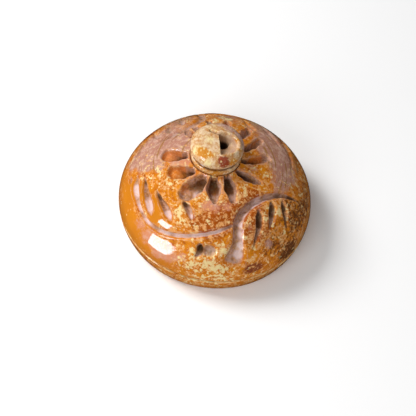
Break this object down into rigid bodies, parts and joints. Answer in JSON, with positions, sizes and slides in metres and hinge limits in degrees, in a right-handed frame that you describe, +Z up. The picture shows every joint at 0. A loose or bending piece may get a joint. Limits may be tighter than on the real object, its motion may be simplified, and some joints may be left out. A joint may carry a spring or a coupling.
{
  "type": "sew-on button",
  "caption": "Domed sew-on button of mottled polished stone with a carved flower and scrolls, a pierced knob at the crown, and a wire shank in a recessed back.",
  "frame": {"origin": "middle of the flat ring on the underside that the button rests on", "axes": "+Z up through the carved dome to the knob, -Y the front of the dome, the wire eye's opening looks along Y"},
  "size_m": [0.028, 0.028, 0.0166],
  "materials": {
    "dome_stone": "polished",
    "knob_stone": "polished",
    "base_stone": "polished",
    "cement": "matte",
    "shank_brass": "satin"
  },
  "bodies": {
    "root": {"carved_dome": "dome_stone", "centre_knob": "knob_stone", "seam_cement": "cement", "base_plate": "base_stone", "shank_rosette": "shank_brass", "shank_wire_loop": "shank_brass", "inner_washer": "shank_brass"}
  },
  "joints": []
}
